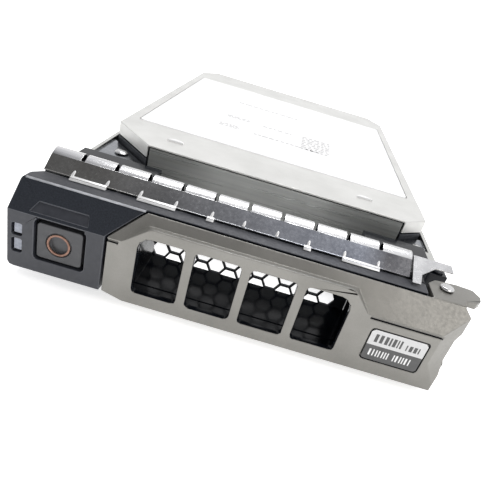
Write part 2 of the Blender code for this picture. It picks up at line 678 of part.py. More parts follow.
def window_corners(k):
    """A window's corners; the end windows are rounder at their outer top corner."""
    x = FIRST_WINDOW + k * WINDOW_PITCH
    left, right = x - WINDOW_WIDTH / 2, x + WINDOW_WIDTH / 2
    tight, loose = 0.0010, 0.0030
    return rounded(
        [(left, WINDOW_LOW), (right, WINDOW_LOW),
         (right, WINDOW_HIGH, loose if k == WINDOWS - 1 else tight),
         (left, WINDOW_HIGH, loose if k == 0 else tight)], tight, 3,
    )


def make_handle():
    outline = [
        (HANDLE_LEFT, 0.0032), (-0.0255, HANDLE_BOTTOM), (0.0524, HANDLE_BOTTOM), (0.0540, 0.0034),
        (0.0540, 0.0044), (0.0533, 0.0054), (0.0533, 0.0158), (0.0544, 0.0174), (0.0544, 0.0222),
        (0.0526, FRONT_TOP), (HANDLE_LEFT + SEAM_RISE, FRONT_TOP), (HANDLE_LEFT, BAND_LOW),
    ]
    handle = plate("handle", [outline], "XZ", FACE, BAND_BACK, HANDLE_PAINT)
    cut(handle, above_band("handle_band"))
    raised = rounded(
        [(-0.0280, 0.0160, 0), (0.0315, 0.0160, 0), (0.0315, 0.0172, 0), (0.0262, 0.0230, 0.0030),
         (-0.0212, 0.0230, 0.0024), (-0.0280, 0.0176, 0)], 0, 4,
    )
    block = plate("window_block", [raised], "XZ", FACE, BAND_BACK - 0.0001)
    section = [
        (-0.0955, 0.0150), (-0.0955, 0.0250), (-0.0941, 0.0230), (-0.0898, 0.0214), (-0.0898, 0.0150),
    ]
    combine(block, "INTERSECT", [plate("block_section", [section], "YZ", -0.0300, 0.0330)])
    join(handle, block)
    for k in range(WINDOWS):
        cut(handle, plate(f"window_{k}", [window_corners(k)], "XZ", FACE - PAST, BAND_BACK + PAST))
    wall, back = 0.0018, BAND_BACK + PAST
    cut(handle, box("handle_hollow", (-0.0286, 0.0475), (FACE + wall, back), (0.0038, 0.0166)))
    behind_windows = [
        (-0.0248, 0.0045), (0.0276, 0.0045), (0.0276, 0.0170), (0.0250, 0.0206), (-0.0222, 0.0206),
        (-0.0248, 0.0178),
    ]
    cut(handle, plate("window_hollow", [behind_windows], "XZ", FACE + wall, back))
    for side, x in (("left", (HANDLE_LEFT - PAST, -0.0281)), ("right", (0.0316, 0.0560))):
        cut(handle, box(f"shadow_groove_{side}", x, (FACE - PAST, FACE + 0.0006), (0.0170, 0.0177)))
    slant = [(0.04715, FACE - 0.0010), (0.05585, BAND_BACK - 0.0010), (0.05585, FACE - 0.0010)]
    chamfer = plate("end_chamfer", [slant], "XY", -0.005, 0.030)
    foot_slope = (0.54, -0.77, 0.34)
    cut(chamfer, beneath("chamfer_foot", (0.0486, FACE, 0.0095), foot_slope))
    foot_end = [(0.05165, FACE - 0.0010), (0.0566, -0.0870), (0.0566, FACE - 0.0010)]
    cut(handle, chamfer, plate("foot_chamfer", [foot_end], "XY", 0, 0.0095))
    tongue = box("keeper_tongue", (-0.0294, -0.0276), (BAND_BACK - 0.0015, -0.0846), (0.0070, 0.0130))
    low_lug = plate("lug_low", [lug_outline()], "XY", HANDLE_BOTTOM, HANDLE_BOTTOM + LUG_THICKNESS)
    high_lug = plate("lug_high", [lug_outline()], "XY", LUG_TOP_LOW, FRONT_TOP)
    cut(high_lug, above_band("lug_band"))
    join(handle, tongue, low_lug, high_lug)
    nose_y = (LATCH_Y[0] - GAP, LATCH_Y[1] + GAP)
    nose_z = (LATCH_Z[0] - GAP, LATCH_Z[1] + GAP)
    cut(handle, box("keeper_slot", (-0.0305, -0.0265), nose_y, nose_z))
    cut(handle, cylinder("pin_bore", 0.0016, "Z", (0, 0.030), HINGE))
    seat = rounded(
        rectangle((STICKER_X[0] - GAP, STICKER_X[1] + GAP), (STICKER_Z[0] - GAP, STICKER_Z[1] + GAP)),
        0.0010,
    )
    cut(handle, plate("sticker_seat", [seat], "XZ", FACE - PAST, FACE + 0.0007))
    sticker = plate(
        "handle_sticker", [rounded(rectangle(STICKER_X, STICKER_Z), 0.0008)], "XZ",
        FACE + 0.0001, FACE + 0.0004, LABEL_GREY,
    )
    pivot("handle_axis", (*HINGE, 0), [handle, sticker])


def make_hinge_fittings():
    head = FRONT_TOP + GAP
    profile = [
        (0, head + 0.0006), (0.0014, head + 0.0006), (0.00175, head + 0.0003), (0.00175, head),
        (0.0013, head), (0.0013, HANDLE_BOTTOM + GAP), (0, HANDLE_BOTTOM + GAP),
    ]
    turned("handle_pin", profile, STAINLESS, (*HINGE, 0), 24)
    coil_radius, low, rise, turns, per_turn = 0.0024, 0.02045, 0.0012, 2, 12
    points = [(HINGE[0] - 0.0045, HINGE[1] - coil_radius, low)]
    for k in range(turns * per_turn + 1):
        turn = -math.pi / 2 + 2 * math.pi * k / per_turn
        points.append((
            HINGE[0] + coil_radius * math.cos(turn), HINGE[1] + coil_radius * math.sin(turn),
            low + rise * k / (turns * per_turn),
        ))
    wire("handle_spring", points, 0.00025, STEEL)


# ------------------------------------------------------------------ carrier: bezel and button
def make_button_bezel():
    corners = [
        (BEZEL_LEFT, BEZEL_BOTTOM, 0.0014), (BEZEL_RIGHT, BEZEL_BOTTOM, 0), (BEZEL_RIGHT, BAND_LOW, 0),
        (BEZEL_RIGHT + SEAM_RISE, FRONT_TOP, 0), (BEZEL_LEFT, FRONT_TOP, 0.0008),
    ]
    outline = rounded(corners, 0, 4)
    bezel = plate("button_bezel", [outline], "XZ", FACE, BEZEL_BACK, BLACK_PLASTIC)
    room_y = (FRAME_FRONT - GAP, BEZEL_BACK + PAST)
    behind_band = box("frame_room", (BEZEL_RIGHT, -0.020), room_y, (0, 0.030))
    cut(bezel, behind_band)
    strip_y = (STRIP_FRONT, BEZEL_BACK)
    strip = box("top_strip", (BEZEL_RIGHT - PAST, 0.0438), strip_y, (STRIP_LOW, FRONT_TOP))
    seam_shift = (STRIP_LOW - BAND_LOW) / (FRONT_TOP - BAND_LOW) * SEAM_RISE
    corner = [
        (BEZEL_RIGHT - PAST, STRIP_LOW), (BEZEL_RIGHT + seam_shift, STRIP_LOW),
        (BEZEL_RIGHT + SEAM_RISE, FRONT_TOP), (BEZEL_RIGHT - PAST, FRONT_TOP),
    ]
    join(bezel, strip, plate("strip_corner", [corner], "XZ", FRAME_FRONT - 0.0010, FRAME_FRONT + 0.0010))
    cut(bezel, above_band("bezel_band"))
    brow = [(-0.0942, 0.0187), (-0.0937, 0.0185), (-0.0918, 0.02025), (-0.0922, 0.0209)]
    pad = plate("brow_pad", [brow], "YZ", -0.0500, -0.0350)
    pad_outline = [(-0.0495, 0.0180), (-0.0353, 0.0180), (-0.0366, 0.0212), (-0.0475, 0.0212)]
    combine(pad, "INTERSECT", [plate("pad_outline", [pad_outline], "XZ", FACE - PAST, -0.0900)])
    cut(bezel, pad)
    cut(bezel, box("brow_groove", (-0.0472, -0.0360), (FACE - PAST, -0.0935), (0.0170, 0.0177)))
    rear = [(-0.0545, -0.0868), (-0.0513, -0.0830), (-0.0545, -0.0830)]
    cut(bezel, plate("bezel_corner", [rear], "XY", 0, 0.030))
    opening = rounded(rectangle(BUTTON_X, BUTTON_Z), 0.0010)
    cut(bezel, plate("button_opening", [opening], "XZ", FACE - PAST, -0.0900))
    cut(bezel, box("button_room", (-0.0490, -0.0345), (-0.0915, BEZEL_BACK + PAST), (0.0056, 0.0181)))
    nose_y = (LATCH_Y[0] - GAP, BEZEL_BACK + PAST)
    nose_z = (LATCH_Z[0] - GAP, LATCH_Z[1] + GAP)
    cut(bezel, box("latch_way", (-0.0360, BEZEL_RIGHT + PAST), nose_y, nose_z))
    lights = {"upper": (0.0116, 0.0148), "lower": (0.0071, 0.0108)}
    for name, z in lights.items():
        window = rounded(rectangle((-0.0530, -0.0504), z), 0.0005, 2)
        cut(bezel, plate(f"light_window_{name}", [window], "XZ", FACE - PAST, BEZEL_BACK + PAST))
        pipe = (z[0] + 0.0004, z[1] - 0.0004)
        run = (FACE + 0.0007, BEZEL_BACK - GAP)
        box(f"indicator_light_{name}", (-0.0526, -0.0508), run, pipe, LENS)
    return bezel


def make_button():
    clear, clear_far = 0.0005, 0.0009
    cap_x = (BUTTON_X[0] + clear, BUTTON_X[1] - clear_far)
    cap_outline = rounded(rectangle(cap_x, (BUTTON_Z[0] + clear, BUTTON_Z[1] - clear_far)), 0.0007)
    cap = plate("release_button", [cap_outline], "XZ", BUTTON_FRONT, -0.0905, BUTTON_PLASTIC)
    join(cap, box("button_flange", (-0.0486, -0.0349), (-0.0912, -0.0902), (0.0060, 0.0177)))
    cam = [
        (-0.0415, -0.0906), (-0.0367, -0.0906), (-0.0367, -0.0870), (-0.0383, -0.0870),
        (-0.0415, -0.0902),
    ]
    join(cap, plate("latch_cam", [cam], "XY", 0.0125, 0.0155))
    dish = cylinder("button_dish", 0.0023, "Y", (BUTTON_FRONT - PAST, BUTTON_FRONT + 0.0009), BUTTON_CENTRE)
    ring_way = plate(
        "ring_way", [circle(BUTTON_CENTRE, 0.0031, 28)], "XZ", BUTTON_FRONT - PAST, BUTTON_FRONT + 0.0006,
    )
    cut(cap, ring_way, dish)
    ring = plate(
        "button_ring", [circle(BUTTON_CENTRE, 0.0028, 28), circle(BUTTON_CENTRE, 0.0023, 28)], "XZ",
        BUTTON_FRONT - 0.0001, BUTTON_FRONT + 0.0003, COPPER,
    )
    pivot("button_axis", (BUTTON_CENTRE[0], BUTTON_FRONT, BUTTON_CENTRE[1]), [cap, ring])


def make_button_spring():
    radius, front, back, turns, per_turn = 0.0021, -0.0896, -0.0836, 5, 10
    centre = (-0.0450, 0.0118)
    points = []
    for k in range(turns * per_turn + 1):
        turn = 2 * math.pi * k / per_turn
        points.append((
            centre[0] + radius * math.cos(turn), front + (back - front) * k / (turns * per_turn),
            centre[1] + radius * math.sin(turn),
        ))
    wire("button_spring", points, 0.00022, STEEL, 0)


def make_latch():
    slider = box("latch_slider", (-0.0402, -0.0280), LATCH_Y, LATCH_Z, BUTTON_PLASTIC)
    wedge = [(-0.0402, LATCH_Y[0]), (-0.0397, LATCH_Y[0]), (-0.0372, LATCH_Y[1]), (-0.0402, LATCH_Y[1])]
    join(slider, plate("latch_wedge", [wedge], "XY", LATCH_Z[1] - 0.0005, 0.0155))
    pivot("latch_axis", (-0.0280, sum(LATCH_Y) / 2, sum(LATCH_Z) / 2), [slider])


# ------------------------------------------------------------------ carrier: gasket and bracket
def make_gasket():
    """Spring-steel strip: hooked foot, sloping face, rolled crest cut into fingers."""
    section = [
        (-0.0842, 0.0245), (-0.0833, 0.0245), (-0.0797, 0.0274), (-0.0790, 0.0278), (-0.0782, 0.0282),
        (-0.0774, 0.0284), (-0.0767, 0.0283), (-0.0761, 0.0279), (-0.0758, 0.0273), (-0.0757, 0.0264),
        (-0.0748, 0.0252),
    ]
    surface = bmesh.new()
    rows = [[surface.verts.new((x, y, z)) for y, z in section] for x in GASKET_X]
    for k in range(len(section) - 1):
        surface.faces.new((rows[0][k], rows[1][k], rows[1][k + 1], rows[0][k + 1]))
    mesh = bpy.data.meshes.new("emi_gasket")
    surface.to_mesh(mesh)
    surface.free()
    gasket = add_object("emi_gasket", mesh, STAINLESS)
    wall = gasket.modifiers.new("Thickness", "SOLIDIFY")
    wall.thickness = 0.0003
    wall.offset = 0
    for k in range(GASKET_SLITS):
        x = GASKET_FIRST_SLIT + k * GASKET_SLIT_PITCH
        cut(gasket, box(f"slit_{k}", (x - 0.0005, x + 0.0005), (-0.0797, -0.0735), (0.0240, 0.0300)))
    hooks = [(-0.0449, -0.0360), (-0.0283, -0.0189), (-0.0112, -0.0094), (0.0130, 0.0148), (0.0226, 0.0320)]
    edges = [GASKET_X[0] - PAST, *(x for hook in hooks for x in hook), GASKET_X[1] + PAST]
    for k, span in enumerate(zip(edges[::2], edges[1::2])):
        cut(gasket, box(f"foot_trim_{k}", span, (-0.0850, -0.08345), (0.0240, 0.0250)))


def make_shield_bracket():
    outline = [
        (0.0399, -0.0785), (0.0496, -0.0785), (0.0502, -0.0804), (0.0455, -0.0805),
        (0.0422, -0.0830), (0.0420, -0.0856), (0.0399, -0.0856),
    ]
    lean = math.atan(0.52)
    flat = [(x, (y + 0.0785) / math.cos(lean)) for x, y in outline]
    bracket = plate("shield_bracket", [flat[::-1]], "XY", -0.0002, 0.0002, STAINLESS)
    bracket.matrix_world = Matrix.Translation((0, -0.0785, 0.0282)) @ Matrix.Rotation(lean, 4, "X")
    join(bracket, box("bracket_foot", (0.0402, 0.0436), (-0.0789, -0.0784), (0.0243, 0.0281)))


# ------------------------------------------------------------------ carrier: rails and fasteners
def gusset(side):
    if side < 0:
        return [
            (-0.0522, -0.0564), (-0.0369, -0.0564), (-0.0369, -0.0514), (-0.0511, -0.0374),
            (-0.0522, -0.0374),
        ]
    return [
        (0.0434, -0.0564), (0.0522, -0.0564), (0.0522, -0.0458), (0.0511, -0.0458), (0.0434, -0.0514)
    ]


def make_rail(name, side):
    profile = [
        (RAIL_FRONT, 0), (RAIL_BACK - 0.003, 0), (RAIL_BACK, 0.003), (RAIL_BACK, RAIL_TOP - 0.003),
        (RAIL_BACK - 0.003, RAIL_TOP), (RAIL_FRONT, RAIL_TOP),
    ]
    rail = plate(f"{name}_rail", [profile], "YZ", *across((RAIL_INNER, RAIL_OUTER), side), RAIL_STEEL)
    join(rail, box(f"{name}_tongue", across((0.0507, 0.0521), side), (-0.0655, -0.0530), (0.0043, 0.0153)))
    join(rail, plate(f"{name}_gusset", [gusset(side)], "XY", 0.0187, 0.0197))
    if side > 0:
        nose_x = (NOSE_INNER, RAIL_OUTER)
        join(rail, box("right_nose", nose_x, (NOSE_FRONT, NOSE_BACK), (0, RAIL_TOP)))
    pad = across((DRIVE_HALF + GAP, RAIL_OUTER - 0.0002), side)
    for k, (y, hole_side) in enumerate(side_holes()):
        if hole_side != side:
            continue
        at = (y, SIDE_HOLE_HEIGHT)
        join(rail, cylinder(f"{name}_pad_{k}", 0.0050, "X", pad, at))
        cut(rail, cylinder(f"{name}_hole_{k}", 0.0019, "X", across((0.050, 0.055), side), at, sides=16))
        cut(rail, cylinder(f"{name}_recess_{k}", 0.0032, "X", across((0.0521, 0.055), side), at, sides=20))
    x, y, _ = RIVETS[name]
    cut(rail, cylinder(f"{name}_rivet_way", 0.0013, "Z", (0.0170, 0.0220), (x, y), sides=16))


def make_rivets():
    for name, (x, y, head) in RIVETS.items():
        top = 0.0200
        profile = [
            (0, top + 0.0007), (head * 0.6, top + 0.0006), (head, top + 0.0002), (head, top),
            (0.0010, top), (0.0010, 0.0160), (0, 0.0160),
        ]
        turned(f"{name}_rivet", profile, STAINLESS, (x, y, 0), 20)


def cross(name, axis, ends, at, reach):
    """Two crossed slots for a screwdriver, along an axis."""
    slots = []
    for k, (half_a, half_b) in enumerate(((reach, 0.0003), (0.0003, reach))):
        spans = {
            "X": (ends, (at[0] - half_a, at[0] + half_a), (at[1] - half_b, at[1] + half_b)),
            "Z": ((at[0] - half_a, at[0] + half_a), (at[1] - half_b, at[1] + half_b), ends),
        }
        slots.append(box(f"{name}_slot_{k}", *spans[axis]))
    return slots


def make_screws():
    for k, (y, side) in enumerate(side_holes()):
        profile = [
            (0, 0.0530), (0.0026, 0.0530), (0.0029, 0.0527), (0.0029, 0.0524), (0.0015, 0.0524),
            (0.0015, 0.0473), (0, 0.0473),
        ]
        screw = turned(f"drive_screw_{k + 1}", profile, STEEL, (0, y, SIDE_HOLE_HEIGHT), 20)
        screw.rotation_euler = (0, side * math.pi / 2, 0)
        recess = across((0.0522, 0.0530 + PAST), side)
        cut(screw, *cross(screw.name, "X", recess, (y, SIDE_HOLE_HEIGHT), 0.0013))
    profile = [
        (0, 0.0230), (0.0017, 0.0230), (0.0020, 0.0227), (0.0020, 0.0224), (0.0010, 0.0224),
        (0.0010, 0.0160), (0, 0.0160),
    ]
    at = (0.0504, -0.0700)
    screw = turned("frame_screw", profile, BLACK_STEEL, (*at, 0), 20)
    cut(screw, *cross("frame_screw", "Z", (0.0224, 0.0230 + PAST), at, 0.0009))


make_base_casting()
make_top_cover()
make_drive_trim()
make_electronics()
make_motor()
make_disk_stack()
make_head_stack()
make_actuator_frame()
make_front_frame()
make_grille()
make_handle()
make_hinge_fittings()
make_button_bezel()
make_button()
make_button_spring()
make_latch()
make_gasket()
make_shield_bracket()
make_rail("left", -1)
make_rail("right", 1)
make_rivets()
make_screws()
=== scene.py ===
"""The looks of the hard disk drive and its carrier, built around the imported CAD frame."""

import json
import math
import random

import bmesh
import bpy
from mathutils import Matrix, Vector
from mathutils.geometry import intersect_point_line


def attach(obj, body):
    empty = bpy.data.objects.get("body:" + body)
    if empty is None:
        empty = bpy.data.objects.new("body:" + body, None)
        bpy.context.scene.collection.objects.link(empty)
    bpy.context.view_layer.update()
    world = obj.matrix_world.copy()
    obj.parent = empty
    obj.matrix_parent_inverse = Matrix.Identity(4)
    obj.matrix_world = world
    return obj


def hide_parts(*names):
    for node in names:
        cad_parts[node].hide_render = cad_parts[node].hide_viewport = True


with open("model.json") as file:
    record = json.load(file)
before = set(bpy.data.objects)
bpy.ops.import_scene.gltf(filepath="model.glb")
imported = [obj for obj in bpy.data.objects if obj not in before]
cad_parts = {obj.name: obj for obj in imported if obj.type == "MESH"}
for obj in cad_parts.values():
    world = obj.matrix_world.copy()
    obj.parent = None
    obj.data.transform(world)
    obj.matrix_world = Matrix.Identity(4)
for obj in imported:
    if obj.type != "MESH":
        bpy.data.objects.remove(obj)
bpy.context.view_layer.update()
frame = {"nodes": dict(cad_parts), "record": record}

NODES = frame["nodes"]
BODY_OF = {
    node: body
    for body, members in frame["record"]["behaviour"]["bodies"].items()
    for node in members
}
SLOT_OF = {part["node"]: part["material_slot"] for part in frame["record"]["subparts"]}
ROOT = "carrier_and_drive"
MM = 0.001
X, Y, Z = Vector((1, 0, 0)), Vector((0, 1, 0)), Vector((0, 0, 1))
BAND_FRONT, BAND_LOW = -0.0945, 0.0180  # front lower edge of the 45 degree band
LID_TOP = 0.0261
BOARD_UNDERSIDE = 0.0012
FLOOR_DROP = 0.0004  # of the floor below the part, so that their faces don't meet
PRINT_THICKNESS = 0.000012
WELD = 2e-6
FLAT, SHARP = math.radians(0.6), math.radians(30)  # angles that hide an edge and that round it
ROOM_TAKEN, CROWDED = 0.45, 2.2  # most of a narrow face a rounding takes, and when one is narrow

# ------------------------------------------------------------------ materials


def shader_of(material):
    return material.node_tree.nodes["Principled BSDF"]


class Look:
    """A Principled material and short calls that add procedural detail to it.

    Positions are the piece's own coordinates, which are the frame's, in metres.
    """

    def __init__(self, name, colour, roughness, metallic=0.0, **sockets):
        self.made = bpy.data.materials.new(name)
        self.made.use_nodes = True
        self.shader = shader_of(self.made)
        self.height = None
        self.set("Base Color", (*colour, 1.0))
        self.set("Roughness", roughness)
        self.set("Metallic", metallic)
        for socket, value in sockets.items():
            self.set(socket.replace("_", " "), value)
        self.place = self.node("ShaderNodeTexCoord").outputs["Object"]

    def set(self, socket, value):
        self.shader.inputs[socket].default_value = value

    def node(self, kind, **values):
        made = self.made.node_tree.nodes.new(kind)
        for key, value in values.items():
            if key in made.inputs:
                made.inputs[key].default_value = value
            else:
                setattr(made, key, value)
        return made

    def link(self, output, socket):
        self.made.node_tree.links.new(output, socket)

    def noise(self, size, detail=2.0, stretch=(1, 1, 1), rough=0.5):
        """Noise from 0 to 1 whose features are about size metres across, longer where stretch is."""
        scale = self.node("ShaderNodeVectorMath", operation="DIVIDE")
        scale.inputs[1].default_value = [size * s for s in stretch]
        self.link(self.place, scale.inputs[0])
        noise = self.node("ShaderNodeTexNoise", Detail=detail, Roughness=rough)
        noise.inputs["Scale"].default_value = 1.0
        self.link(scale.outputs[0], noise.inputs["Vector"])
        return noise.outputs["Fac"]

    def ramp(self, factor, stops):
        """Colours blended along a factor; each stop is (place, colour)."""
        ramp = self.node("ShaderNodeValToRGB")
        elements = ramp.color_ramp.elements
        while len(elements) < len(stops):
            elements.new(1.0)
        for element, (where, colour) in zip(elements, stops):
            element.position = where
            element.color = (*colour, 1.0)
        self.link(factor, ramp.inputs["Fac"])
        return ramp.outputs["Color"]

    def span(self, factor, low, high, start=0.3, end=0.7):
        """The factor's range from start to end spread from low to high."""
        spread = self.node("ShaderNodeMapRange")
        for name, value in (("From Min", start), ("From Max", end), ("To Min", low), ("To Max", high)):
            spread.inputs[name].default_value = value
        self.link(factor, spread.inputs["Value"])
        return spread.outputs["Result"]

    def sum(self, first, second, operation="ADD"):
        maths = self.node("ShaderNodeMath", operation=operation)
        for value, socket in zip((first, second), maths.inputs):
            if isinstance(value, (int, float)):
                socket.default_value = value
            else:
                self.link(value, socket)
        return maths.outputs["Value"]

    def axis(self, letter):
        split = self.node("ShaderNodeSeparateXYZ")
        self.link(self.place, split.inputs["Vector"])
        return split.outputs[letter]

    def mix(self, factor, first, second):
        """Two colours blended by a factor; each is a colour or a socket."""
        mix = self.node("ShaderNodeMix", data_type="RGBA")
        self.link(factor, mix.inputs["Factor"])
        for value, socket in ((first, mix.inputs[6]), (second, mix.inputs[7])):
            if isinstance(value, tuple):
                socket.default_value = (*value, 1.0)
            else:
                self.link(value, socket)
        return mix.outputs[2]

    def colour(self, output):
        self.link(output, self.shader.inputs["Base Color"])
        return self

    def tint(self, size, dark, light, **more):
        return self.colour(self.ramp(self.noise(size, **more), [(0.3, dark), (0.7, light)]))

    def gloss(self, size, low, high, **more):
        self.link(self.span(self.noise(size, **more), low, high), self.shader.inputs["Roughness"])
        return self

    def bump(self, size, depth, strength=1.0, **more):
        """Noise relief of the given depth, on top of any relief already there."""
        return self.relief(self.noise(size, **more), depth, strength)

    def relief(self, height, depth, strength=1.0):
        bump = self.node("ShaderNodeBump", Strength=strength, Distance=depth)
        self.link(height, bump.inputs["Height"])
        if self.height:
            self.link(self.height, bump.inputs["Normal"])
        self.height = bump.outputs["Normal"]
        self.link(self.height, self.shader.inputs["Normal"])
        return self


def grey(value):
    return (value, value, value)


def make_looks():
    looks = {}

    smooth_black = Look("bezel_plastic", (0.030, 0.032, 0.040), 0.42)
    smooth_black.tint(0.0016, (0.025, 0.027, 0.034), (0.034, 0.036, 0.044))
    smooth_black.gloss(0.0009, 0.36, 0.48).bump(0.00016, 0.000008, 0.5)
    looks["bezel"] = smooth_black

    textured = Look("bezel_texture", (0.010, 0.013, 0.019), 0.66)
    textured.set("Specular IOR Level", 0.35)
    textured.tint(0.00030, (0.006, 0.008, 0.013), (0.016, 0.020, 0.028), detail=3)
    textured.gloss(0.0005, 0.5, 0.72).bump(0.00034, 0.00006, 0.8, detail=3)
    looks["bezel_texture"] = textured

    # bezel_edge is a lighter, glossier copy of the bezel plastic put on the rounded edges: a painted
    # highlight.
    edge_highlight = Look("bezel_edge", (0.060, 0.064, 0.076), 0.34)
    edge_highlight.tint(0.0006, (0.052, 0.056, 0.066), (0.072, 0.076, 0.088)).gloss(0.0005, 0.28, 0.40)
    looks["bezel_edge"] = edge_highlight

    # bezel_ridge is light grey on the black bezel: a painted highlight along the ridge.
    ridge = Look("bezel_ridge", (0.38, 0.39, 0.41), 0.35)
    ridge.tint(0.0004, (0.28, 0.29, 0.31), (0.48, 0.49, 0.52), stretch=(4, 1, 1))
    ridge.gloss(0.0005, 0.28, 0.42)
    looks["bezel_ridge"] = ridge

    frame_black = Look("frame_plastic", (0.005, 0.006, 0.009), 0.35)
    frame_black.set("Specular IOR Level", 0.22)
    frame_black.tint(0.002, (0.004, 0.005, 0.008), (0.007, 0.009, 0.013))
    frame_black.gloss(0.0030, 0.10, 0.20).bump(0.0010, 0.000004, 0.4)
    looks["black_plastic"] = frame_black

    button = Look("button_plastic", (0.052, 0.053, 0.057), 0.40)
    button.tint(0.0014, (0.046, 0.047, 0.051), (0.060, 0.061, 0.065))
    button.gloss(0.0008, 0.34, 0.46).bump(0.00014, 0.000006, 0.5)
    looks["button_plastic"] = button

    paint = Look("handle_paint", (0.24, 0.233, 0.215), 0.38, 0.55)
    flakes = paint.noise(0.00012, detail=1)
    patches = paint.noise(0.010, detail=2)
    blend = paint.sum(paint.sum(flakes, 0.35, "MULTIPLY"), paint.sum(patches, 0.65, "MULTIPLY"))
    paint.colour(paint.ramp(blend, [(0.35, (0.215, 0.209, 0.192)), (0.65, (0.265, 0.258, 0.239))]))
    paint.gloss(0.0007, 0.32, 0.44).bump(0.00018, 0.000006, 0.5)
    looks["handle_paint"] = paint

    copper = Look("copper_ring", (0.25, 0.14, 0.10), 0.40, 0.5)
    copper.tint(0.0006, (0.20, 0.11, 0.08), (0.30, 0.17, 0.125)).gloss(0.0003, 0.34, 0.48)
    looks["copper_ring"] = copper

    lens = Look("lens", (0.27, 0.29, 0.34), 0.2, Coat_Weight=0.5)
    lens.tint(0.0008, (0.22, 0.24, 0.29), (0.34, 0.36, 0.42)).bump(0.0004, 0.00002, 0.4)
    looks["lens"] = lens

    stainless = Look("stainless", (0.55, 0.55, 0.54), 0.22, 1.0)
    stainless.tint(0.004, (0.54, 0.54, 0.54), (0.68, 0.68, 0.68), detail=3)
    stainless.gloss(0.0012, 0.18, 0.28).bump(0.0006, 0.000002, 0.4, detail=2)
    looks["stainless"] = stainless

    mottle_and_reflection = Look("gasket_steel", (0.5, 0.5, 0.5), 0.24, 1.0)
    fine = mottle_and_reflection.noise(0.0007, detail=5, rough=0.7)
    broad = mottle_and_reflection.noise(0.009, detail=3)
    mixed = mottle_and_reflection.sum(mottle_and_reflection.sum(fine, 0.45, "MULTIPLY"), mottle_and_reflection.sum(broad, 0.55, "MULTIPLY"))
    # Along x the colour runs from darker and brownish on the left to lighter and bluish on the right, then
    # dark at the right end: painted reflection, with painted shade at the right end. The noise mixed in is
    # the steel's own mottle.
    along = mottle_and_reflection.span(mottle_and_reflection.axis("X"), 0.0, 1.0, -0.052, 0.040)
    low = mottle_and_reflection.ramp(along, [
        (0.15, (0.25, 0.245, 0.23)), (0.55, (0.28, 0.29, 0.31)), (0.86, (0.32, 0.34, 0.39)),
        (0.93, (0.15, 0.15, 0.16)),
    ])
    high = mottle_and_reflection.ramp(along, [
        (0.15, (0.40, 0.395, 0.375)), (0.55, (0.54, 0.55, 0.58)), (0.86, (0.62, 0.65, 0.72)),
        (0.93, (0.28, 0.28, 0.29)),
    ])
    mottle_and_reflection.colour(mottle_and_reflection.mix(mottle_and_reflection.span(mixed, 0.0, 1.0, 0.36, 0.64), low, high))
    mottle_and_reflection.gloss(0.0009, 0.16, 0.28, detail=4).bump(0.0006, 0.000004, 0.4, detail=4)
    looks["gasket_steel"] = mottle_and_reflection

    # gasket_crest is a brighter copy of the gasket steel for the crest: a painted highlight.
    crest = Look("gasket_crest", (0.72, 0.72, 0.72), 0.16, 1.0)
    crest.tint(0.0008, grey(0.66), grey(0.78), stretch=(30, 1, 1), detail=3)
    crest.gloss(0.0006, 0.12, 0.24, stretch=(30, 1, 1))
    looks["gasket_crest"] = crest

    # gasket_lip is a lighter, less metallic copy of the gasket steel for the rolled lips and folds: a
    # painted highlight.
    lip = Look("gasket_lip", (0.86, 0.87, 0.89), 0.34, 0.45)
    lip.tint(0.0006, grey(0.80), grey(0.92), stretch=(12, 1, 1)).gloss(0.0005, 0.28, 0.40)
    looks["gasket_lip"] = lip

    brushed = Look("front_plate_steel", (0.46, 0.46, 0.45), 0.30, 0.55)
    brushed.tint(0.0009, (0.38, 0.39, 0.38), (0.50, 0.51, 0.49), stretch=(50, 1, 1), detail=2)
    brushed.gloss(0.0010, 0.24, 0.38, stretch=(40, 1, 1)).bump(0.0040, 0.00003, 0.5, stretch=(2, 1, 1))
    looks["brushed"] = brushed

    steel = Look("steel", (0.42, 0.43, 0.44), 0.32, 1.0)
    steel.tint(0.0010, grey(0.34), grey(0.50), detail=3).gloss(0.0006, 0.26, 0.42)
    steel.bump(0.0003, 0.000008, 0.5)
    looks["steel"] = steel

    rail = Look("rail_steel", (0.55, 0.55, 0.53), 0.24, 1.0)
    rail.tint(0.006, (0.48, 0.48, 0.46), (0.62, 0.62, 0.60), detail=5)
    rail.gloss(0.0016, 0.16, 0.34, detail=3).bump(0.0009, 0.000008, 0.4, detail=3)
    looks["rail_steel"] = rail

    shaded = Look("rail_gusset", (0.26, 0.27, 0.29), 0.20, 1.0)
    shaded.tint(0.004, (0.22, 0.23, 0.25), (0.32, 0.33, 0.35), detail=3).gloss(0.0016, 0.14, 0.26)
    looks["rail_gusset"] = shaded

    coated = Look("black_coated_steel", (0.016, 0.018, 0.022), 0.38, 0.2)
    coated.tint(0.001, (0.012, 0.014, 0.018), (0.024, 0.026, 0.032)).gloss(0.0006, 0.30, 0.46)
    coated.bump(0.0003, 0.000008, 0.5)
    looks["black_steel"] = coated

    casting = Look("casting", (0.030, 0.033, 0.040), 0.48, 0.25)
    casting.tint(0.0012, (0.022, 0.025, 0.031), (0.042, 0.046, 0.054), detail=4)
    casting.gloss(0.0008, 0.40, 0.58).bump(0.0005, 0.00003, 0.6, detail=4)
    looks["casting"] = casting

    cover = Look("cover_metal", (0.66, 0.66, 0.64), 0.42, 0.35)
    cover.tint(0.010, (0.62, 0.62, 0.60), (0.70, 0.70, 0.68), detail=3)
    cover.gloss(0.0020, 0.36, 0.48, detail=3).bump(0.00025, 0.000005, 0.5)
    looks["cover_metal"] = cover

    # cover_bright is a lighter copy of the cover metal for the louvres: a painted highlight.
    louvre_highlight = Look("cover_bright", (0.90, 0.90, 0.88), 0.36, 0.1)
    louvre_highlight.tint(0.0020, grey(0.86), grey(0.94)).gloss(0.0010, 0.30, 0.42)
    looks["cover_bright"] = louvre_highlight

